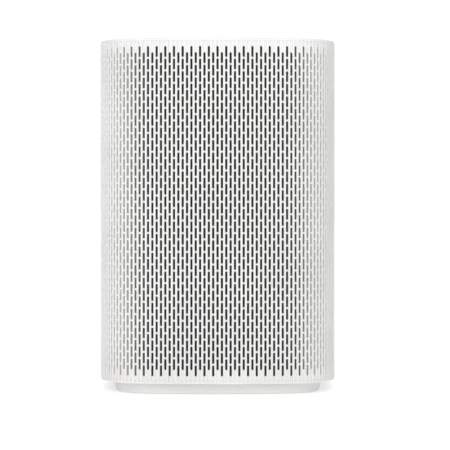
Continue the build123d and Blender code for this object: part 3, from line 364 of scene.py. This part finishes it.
def fluted_shell(first_column, low, high):
    """Half of the skin: slotted wall, ribs, then the bend round the body."""
    half_columns = COLUMNS // 2
    bm = bmesh.new()
    for raised in (True, False):
        column = slot_column(raised, low, high)
        strip = bpy.data.meshes.new("strip")
        column.to_mesh(strip)
        column.free()
        before = set(bm.verts)
        bm.from_mesh(strip)
        bpy.data.meshes.remove(strip)
        fresh = [v for v in bm.verts if v not in before]
        start = 0 if raised == (first_column % 2 == 0) else 1
        bmesh.ops.translate(bm, verts=fresh, vec=((first_column + start) * column_pitch, 0, 0))
        links = {f for v in fresh for f in v.link_faces} | {e for v in fresh for e in v.link_edges}
        repeat(bm, fresh + list(links), (half_columns + 1 - start) // 2, Vector((2 * column_pitch, 0, 0)))
    bmesh.ops.remove_doubles(bm, verts=bm.verts[:], dist=1e-6)
    start = (first_column - 0.5) * column_pitch
    end = start + half_columns * column_pitch
    for vert in bm.verts:
        if vert.co.x < start + 1e-6:
            vert.co.x += SEAM / 2
        elif vert.co.x > end - 1e-6:
            vert.co.x -= SEAM / 2
    bmesh.ops.recalc_face_normals(bm, faces=bm.faces[:])
    front = bm.faces[:]
    back = bmesh.ops.extrude_face_region(bm, geom=front, use_keep_orig=True)["geom"]
    sunk = [v for v in back if isinstance(v, bmesh.types.BMVert)]
    bmesh.ops.translate(bm, verts=sunk, vec=(0, WALL - GROOVE_DEPTH, 0))
    rib_width = column_pitch - GROOVE_WIDTH
    ribs = bmesh.new()
    rib(ribs, 0, rib_width, low, high)
    rib_mesh = bpy.data.meshes.new("rib")
    ribs.to_mesh(rib_mesh)
    ribs.free()
    half_rib = rib_width / 2 - SEAM / 2
    rib(bm, start + SEAM / 2 + half_rib / 2, half_rib, low, high)
    rib(bm, end - SEAM / 2 - half_rib / 2, half_rib, low, high)
    before = set(bm.verts)
    bm.from_mesh(rib_mesh)
    bpy.data.meshes.remove(rib_mesh)
    fresh = [v for v in bm.verts if v not in before]
    bmesh.ops.translate(bm, verts=fresh, vec=(start + column_pitch, 0, 0))
    links = {f for v in fresh for f in v.link_faces} | {e for v in fresh for e in v.link_edges}
    repeat(bm, fresh + list(links), half_columns - 1, Vector((column_pitch, 0, 0)))
    bmesh.ops.recalc_face_normals(bm, faces=bm.faces[:])
    for vert in bm.verts:
        vert.co = wrap(vert.co)
    bmesh.ops.recalc_face_normals(bm, faces=bm.faces[:])
    return bm


def moulded(name, tint, rough, dust=0.0):
    """Matte moulded plastic: spark-eroded grain, faint flow clouds, uneven gloss and a little dust."""
    made = Finish(name, Roughness=rough, IOR=1.46)
    pale = tuple(min(1.0, part * 1.015) for part in tint)
    deep = tuple(part * 0.965 for part in tint)
    dusty = tuple(part * 0.86 for part in tint)
    cloud = made.mix(made.noise(14.0, 3.0).step(0.3, 0.7), deep, pale)
    settled = made.facing_up() * made.noise(900.0, 3.0).step(0.5, 0.72) * dust
    made.feed("Base Color", made.mix(settled, cloud, dusty))
    smudge = made.noise(35.0, 2.0).step(0.45, 0.75) * 0.08
    made.feed("Roughness", rough - 0.04 + 0.08 * made.noise(400.0, 2.0) + settled * 0.2 - smudge)
    made.relief(made.noise(3200.0, 1.0) + 0.5 * made.noise(700.0, 1.0), 0.00002, 0.5)
    return made


def show(name, bm, finish, body, replaced):
    """Makes a piece from a bmesh. It moves with its body and stands in for CAD nodes."""
    mesh = bpy.data.meshes.new(name)
    bm.to_mesh(mesh)
    bm.free()
    mesh.materials.append(finish.material)
    piece = bpy.data.objects.new(name, mesh)
    bpy.context.scene.collection.objects.link(piece)
    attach(piece, body)
    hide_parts(*replaced)


def magnet_bosses(bm):
    """Four round bosses inside the rear shell, each with a pocket for its magnet."""
    magnet_low, magnet_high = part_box("cover_magnets")
    magnet_radius = 0.004
    boss_radius = 0.0055
    pocket_play = 0.00005
    bite_depth = 0.0022
    sides = 32
    wall_middle = CORNER_RADIUS - bite_depth
    for side in (-1, 1):
        for z in (magnet_low.z + magnet_radius, magnet_high.z - magnet_radius):
            cone = {"cap_ends": True, "segments": sides, "radius1": boss_radius, "radius2": boss_radius}
            boss = bmesh.ops.create_cone(bm, **cone, depth=1.0)["verts"]
            bmesh.ops.rotate(bm, verts=boss, matrix=Matrix.Rotation(radians(90), 3, "X"))
            bmesh.ops.translate(bm, verts=boss, vec=(side * (magnet_high.x - magnet_radius), 0, z))
            for vert in boss:
                if vert.co.y < 0:
                    vert.co.y = magnet_low.y
                else:
                    reach = abs(vert.co.x) - corner
                    vert.co.y = corner + sqrt(wall_middle**2 - reach**2)
            ends = [face for face in bm.faces if len(face.verts) == sides and face.verts[0] in boss]
            front = [face for face in ends if all(abs(v.co.y - magnet_low.y) < 1e-6 for v in face.verts)]
            bmesh.ops.inset_region(bm, faces=front, thickness=boss_radius - magnet_radius - pocket_play)
            pocket = bmesh.ops.extrude_face_region(bm, geom=front)["geom"]
            floor_verts = [v for v in pocket if isinstance(v, bmesh.types.BMVert)]
            bmesh.ops.delete(bm, geom=front, context="FACES_ONLY")
            bmesh.ops.translate(bm, verts=floor_verts, vec=(0, magnet_high.y - magnet_low.y, 0))
    bmesh.ops.recalc_face_normals(bm, faces=bm.faces[:])


shell_white = moulded("shell_white", (0.755, 0.75, 0.74), 0.5)
front_low, front_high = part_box("front_cover")
front_shell = fluted_shell(FRONT_FIRST, front_low.z, front_high.z)
show("front_shell", front_shell, shell_white, "chassis", ["front_cover"])
rear_low, rear_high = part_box("rear_cover")
rear_shell = fluted_shell(FRONT_FIRST + COLUMNS // 2, rear_low.z, rear_high.z)
magnet_bosses(rear_shell)
show("rear_shell", rear_shell, shell_white, "cover", ["rear_cover"])

# Pre-filter liners
# A fine black net of woven nylon lies close behind each shell, so the slots look dark. It catches hair
# and lint before the air reaches the ring filter.
liner_net = Finish("liner_net", Roughness=0.85, Sheen_Weight=0.2)
x, y, z = liner_net.axes()
strands = 2 * pi / 0.0008
upright = ((x + y) * strands).sine() * ((x - y) * strands).sine()
weave = upright.size().larger((z * strands).sine().size())
lint = weave * liner_net.noise(600.0)
liner_net.feed("Base Color", liner_net.mix(lint, (0.018, 0.018, 0.019), (0.055, 0.055, 0.058)))
liner_net.relief(weave, 0.0002, 0.6)
dress(liner_net, "front_prefilter", "rear_prefilter")

# Deck, tray and plinth
# The lid, the tray and the plinth are moulded in the shells' white, with rounded outer edges. The
# plinth is set back under the tray, so the body seems to stand clear of the floor.
trim_white = moulded("trim_white", (0.755, 0.75, 0.74), 0.45, 0.5)
base_white = moulded("base_white", (0.755, 0.75, 0.74), 0.5)
z = base_white.axes()[2]
scuff = base_white.noise(160.0, 4.0, (1, 1, 6)).step(0.62, 0.7) * (1.0 - z.step(0.001, 0.006))
base_white.feed("Roughness", 0.46 + 0.08 * base_white.noise(400.0) + scuff * 0.25)
dress(trim_white, "top_deck")
dress(base_white, "base_tray", "plinth")

# Feet
# Four discs of soft black rubber are set into the plinth's floor and stand a little proud of it.
# Dust from the table greys them.
rubber = Finish("foot_rubber", Roughness=0.9, Specular_IOR_Level=0.3)
grime = rubber.noise(220.0, 4.0).step(0.45, 0.75)
rubber.feed("Base Color", rubber.mix(grime, (0.03, 0.03, 0.03), (0.09, 0.085, 0.08)))
rubber.relief(rubber.noise(2500.0, 2.0), 0.00005, 0.6)
dress(rubber, "feet")

# Outlet grille and control disc
# A wheel of thin swept fins guards the outlet and carries the disc. In its middle a ring light
# surrounds a round button with a power sign printed in grey, and four small lamps lie in an arc.
grille_white = moulded("grille_white", (0.775, 0.77, 0.757), 0.42, 0.9)
disc_white = moulded("disc_white", (0.785, 0.78, 0.77), 0.3, 0.5)
dress(grille_white, "outlet_grille")
dress(disc_white, "control_panel")
button_white = moulded("button_white", (0.79, 0.785, 0.775), 0.28, 0.3)
x, y = button_white.axes()[:2]
from_middle = (x * x + y * y).root()
arc = from_middle.within(0.0033, 0.0040) * (1.0 - y.over(0.0) * x.size().under(0.0013))
bar = x.size().under(0.00035) * y.within(0.0010, 0.0046)
white, grey = (0.79, 0.785, 0.775), (0.33, 0.335, 0.34)
button_white.feed("Base Color", button_white.mix(arc.larger(bar), white, grey))
dress(button_white, "power_button")
milky = Finish("milky_lens", Roughness=0.35, Transmission_Weight=0.25, Subsurface_Weight=0.2)
milky.feed("Base Color", milky.mix(milky.noise(500.0), (0.80, 0.82, 0.84), (0.88, 0.89, 0.90)))
dress(milky, "light_ring", "indicator_lenses")

# Frame
# Posts, bulkhead and fan duct are moulded in unpolished grey plastic, since none of it shows once the
# rear shell is on. Foam seals the duct and the filter, screws are zinc plated and magnets nickel.
frame_grey = moulded("frame_grey", (0.42, 0.43, 0.44), 0.6, 1.0)
dress(frame_grey, "front_posts", "rear_posts", "fan_bulkhead", "fan_housing", "board_bracket", "cable_clips")
foam = Finish("foam_seal", Roughness=0.95)
pores = foam.cells(1500.0)
# Darker in the middle of each pore, where the relief sinks: painted shade in the pores.
foam.feed("Base Color", foam.mix(pores.step(0.1, 0.6), (0.02, 0.02, 0.02), (0.07, 0.07, 0.07)))
foam.relief(pores, 0.0003, 0.8)
dress(foam, "deck_seal", "filter_gasket")
zinc = Finish("zinc_plate", Metallic=1.0)
zinc.feed("Base Color", zinc.mix(zinc.noise(300.0), (0.55, 0.56, 0.58), (0.68, 0.68, 0.68)))
zinc.feed("Roughness", 0.28 + 0.25 * zinc.noise(900.0, 3.0))
dress(zinc, "chassis_screws", "plinth_screws", "panel_screws", "motor_screws")
nickel = Finish("magnet_nickel", Metallic=1.0)
nickel.feed("Base Color", nickel.mix(nickel.noise(200.0), (0.60, 0.59, 0.57), (0.72, 0.71, 0.69)))
nickel.feed("Roughness", 0.16 + 0.2 * nickel.noise(700.0, 4.0, (1, 1, 0.1)))
dress(nickel, "frame_magnets", "cover_magnets")

# Fan
# Glass-filled black nylon, injection moulded. Its fibres leave pale streaks in the skin and a dull,
# slightly mottled gloss.
fan_black = Finish("fan_nylon", IOR=1.5)
fibres = fan_black.noise(900.0, 2.0, (1, 1, 0.15)).step(0.6, 0.75)
fan_black.feed("Base Color", fan_black.mix(fibres * 0.5, (0.035, 0.036, 0.038), (0.11, 0.11, 0.115)))
fan_black.feed("Roughness", 0.42 + 0.2 * fan_black.noise(250.0, 3.0))
fan_black.relief(fan_black.noise(2200.0), 0.00003, 0.5)
dress(fan_black, "impeller", "diffuser", "motor_cover", "inlet_ring", "inlet_guard")

# Motor
# A drawn steel cup spins round a laminated core with nine copper coils, on a ground shaft that runs
# in two ball bearings in an aluminium mount.
cup_steel = Finish("motor_steel", Metallic=1.0)
cup_steel.feed("Base Color", cup_steel.mix(cup_steel.noise(120.0), (0.42, 0.43, 0.45), (0.55, 0.55, 0.56)))
cup_steel.feed("Roughness", 0.3 + 0.2 * cup_steel.noise(600.0, 3.0, (1, 1, 0.1)))
dress(cup_steel, "rotor_cup")
laminate = Finish("motor_laminate", Metallic=0.9)
z = laminate.axes()[2]
sheets = (z * (2 * pi / 0.0005)).sine()
laminate.feed("Base Color", laminate.mix(sheets.step(-0.6, 0.6), (0.20, 0.20, 0.21), (0.45, 0.45, 0.46)))
laminate.feed("Roughness", 0.35 + 0.15 * laminate.noise(800.0))
laminate.relief(sheets, 0.00005, 0.7)
dress(laminate, "motor_core")
mount_metal = Finish("cast_aluminium", Metallic=0.85)
patches = mount_metal.noise(200.0, 4.0)
mount_metal.feed("Base Color", mount_metal.mix(patches, (0.50, 0.51, 0.52), (0.64, 0.64, 0.65)))
mount_metal.feed("Roughness", 0.45 + 0.15 * mount_metal.noise(500.0))
mount_metal.relief(mount_metal.noise(1800.0, 3.0), 0.00008, 0.6)
dress(mount_metal, "motor_mount")
ground = Finish("ground_steel", Metallic=1.0)
ground.feed("Base Color", ground.mix(ground.noise(80.0), (0.60, 0.60, 0.61), (0.70, 0.70, 0.71)))
ground.feed("Roughness", 0.12 + 0.15 * ground.noise(1500.0, 2.0, (1, 1, 8)))
dress(ground, "motor_shaft", "shaft_clip", "hub_nut", "bearings")
ferrite = Finish("ferrite", Roughness=0.7)
ferrite.feed("Base Color", ferrite.mix(ferrite.noise(1500.0, 4.0), (0.05, 0.05, 0.055), (0.12, 0.12, 0.125)))
dress(ferrite, "rotor_magnets")
copper = Finish("enamelled_copper", Metallic=1.0, Coat_Weight=0.5)
z = copper.axes()[2]
turns = (z * (2 * pi / 0.0006)).sine()
# Base colour darker in the creases between turns and brighter on their crests: painted shade and painted
# highlight.
copper.feed("Base Color", copper.mix(turns.step(-0.8, 0.8), (0.42, 0.13, 0.04), (0.85, 0.38, 0.16)))
copper.feed("Roughness", 0.25 + 0.15 * copper.noise(900.0))
copper.relief(turns, 0.0001, 0.8)
dress(copper, "motor_windings")

# Electronics and wiring
# Green boards with a faint net of tracks under the mask, parts in black and white housings, and
# leads in matt black PVC.
mask_green = Finish("board_mask", Coat_Weight=0.4, IOR=1.5)
x, y, z = mask_green.axes()
pitch = 2 * pi / 0.0025
across = (x * pitch + mask_green.noise(120.0) * 6.0).sine().size()
tracks = (across - ((y + z) * pitch).sine().size()).step(0.0, 0.15)
mask_green.feed("Base Color", mask_green.mix(tracks, (0.012, 0.10, 0.035), (0.03, 0.19, 0.07)))
mask_green.feed("Roughness", 0.3 + 0.15 * tracks)
mask_green.relief(tracks, 0.00004, 0.8)
dress(mask_green, "main_board", "control_board")
part_black = Finish("part_black", IOR=1.5)
mottle = part_black.noise(400.0)
part_black.feed("Base Color", part_black.mix(mottle, (0.025, 0.025, 0.027), (0.06, 0.06, 0.06)))
part_black.feed("Roughness", 0.4 + 0.25 * part_black.noise(1200.0))
part_black.relief(part_black.noise(3000.0), 0.00003, 0.5)
dress(part_black, "board_parts", "switch_body", "switch_plunger", "dc_jack")
dress(zinc, "jack_nut")
phosphor = Finish("led_phosphor", Roughness=0.4)
phosphor.feed("Base Color", phosphor.mix(phosphor.noise(2000.0), (0.78, 0.62, 0.16), (0.86, 0.74, 0.30)))
dress(phosphor, "leds")
sensor_steel = Finish("sensor_case", Metallic=0.9)
tarnish = sensor_steel.noise(90.0, 4.0)
sensor_steel.feed("Base Color", sensor_steel.mix(tarnish, (0.45, 0.46, 0.48), (0.60, 0.60, 0.60)))
sensor_steel.feed("Roughness", 0.3 + 0.2 * sensor_steel.noise(500.0, 3.0, (8, 8, 1)))
dress(sensor_steel, "particle_sensor")
lead_black = Finish("lead_pvc", IOR=1.5)
bloom = lead_black.noise(300.0)
lead_black.feed("Base Color", lead_black.mix(bloom, (0.02, 0.02, 0.02), (0.045, 0.045, 0.045)))
lead_black.feed("Roughness", 0.45 + 0.2 * lead_black.noise(600.0))
lead_black.relief(lead_black.noise(1800.0), 0.00004, 0.5)
dress(lead_black, "power_harness", "motor_lead", "panel_lead")

# Ring filter
# Pleated off-white paper stands between two dished caps of soft grey plastic. Beads of hot glue keep
# the folds apart, a tube of carbon grains lines the bore, and a net sleeve holds the folds in.
cap_grey = moulded("cap_grey", (0.50, 0.52, 0.54), 0.65, 0.6)
dress(cap_grey, "filter_bottom_cap", "filter_top_cap")
paper = Finish("filter_paper", Roughness=0.9, Sheen_Weight=0.3)
z = paper.axes()[2]
bead = (z * (2 * pi / 0.026)).sine().step(0.97, 0.995)
pulp = paper.noise(1600.0, 5.0)
fibre = paper.mix(pulp, (0.74, 0.73, 0.70), (0.84, 0.83, 0.80))
paper.feed("Base Color", paper.mix(bead, fibre, (0.90, 0.88, 0.80)))
paper.relief(pulp + bead * 3.0, 0.00015, 0.8)
dress(paper, "filter_media")
carbon = Finish("carbon_grains", Roughness=0.6)
grains = carbon.cells(900.0)
# Darker towards the edge of each grain: painted shade in the gaps between grains.
carbon.feed("Base Color", carbon.mix(grains.step(0.2, 0.8), (0.05, 0.05, 0.052), (0.012, 0.012, 0.012)))
carbon.relief(1.0 - grains, 0.0006, 1.0)
dress(carbon, "carbon_core")


def net_sleeve(radius, low, high):
    """A tube of square mesh: each cell of a plain tube is inset and its middle taken out."""
    columns = 104
    strand = 0.0007
    thickness = 0.0006
    rows = round((high - low) / (2 * pi * radius / columns))
    bm = bmesh.new()
    ring = bmesh.ops.create_circle(bm, segments=columns, radius=radius)["verts"]
    bmesh.ops.translate(bm, verts=ring, vec=(0, 0, low))
    edges = bm.edges[:]
    for _ in range(rows):
        raised = bmesh.ops.extrude_edge_only(bm, edges=edges)["geom"]
        moved = [item for item in raised if isinstance(item, bmesh.types.BMVert)]
        bmesh.ops.translate(bm, verts=moved, vec=(0, 0, (high - low) / rows))
        edges = [item for item in raised if isinstance(item, bmesh.types.BMEdge)]
        edges = [edge for edge in edges if abs(edge.verts[0].co.z - edge.verts[1].co.z) < 1e-6]
    bmesh.ops.recalc_face_normals(bm, faces=bm.faces[:])
    cells = bm.faces[:]
    bmesh.ops.inset_individual(bm, faces=cells, thickness=strand)
    bmesh.ops.delete(bm, geom=cells, context="FACES")
    bmesh.ops.solidify(bm, geom=bm.faces[:], thickness=thickness)
    return bm


net_white = Finish("net_plastic", Roughness=0.5, Subsurface_Weight=0.1)
net_white.feed("Base Color", net_white.mix(net_white.noise(500.0), (0.62, 0.63, 0.64), (0.74, 0.74, 0.74)))
net_white.relief(net_white.noise(2500.0), 0.00005, 0.5)
sleeve_low, sleeve_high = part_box("filter_sleeve")
half_wall = 0.0004
sleeve = net_sleeve(sleeve_high.x - half_wall, sleeve_low.z, sleeve_high.z)
show("net_sleeve", sleeve, net_white, "filter", ["filter_sleeve"])
webbing = Finish("tab_webbing", Roughness=0.85, Sheen_Weight=0.4)
x, _, z = webbing.axes()
thread = 2 * pi / 0.0012
twill = ((x + z) * thread).sine().size().larger(((x - z) * thread).sine().size())
# Darker where the threads dip and lighter where they stand up: painted shade between the threads.
webbing.feed("Base Color", webbing.mix(twill, (0.10, 0.12, 0.15), (0.24, 0.27, 0.31)))
webbing.relief(twill, 0.0002, 0.8)
dress(webbing, "pull_tab")
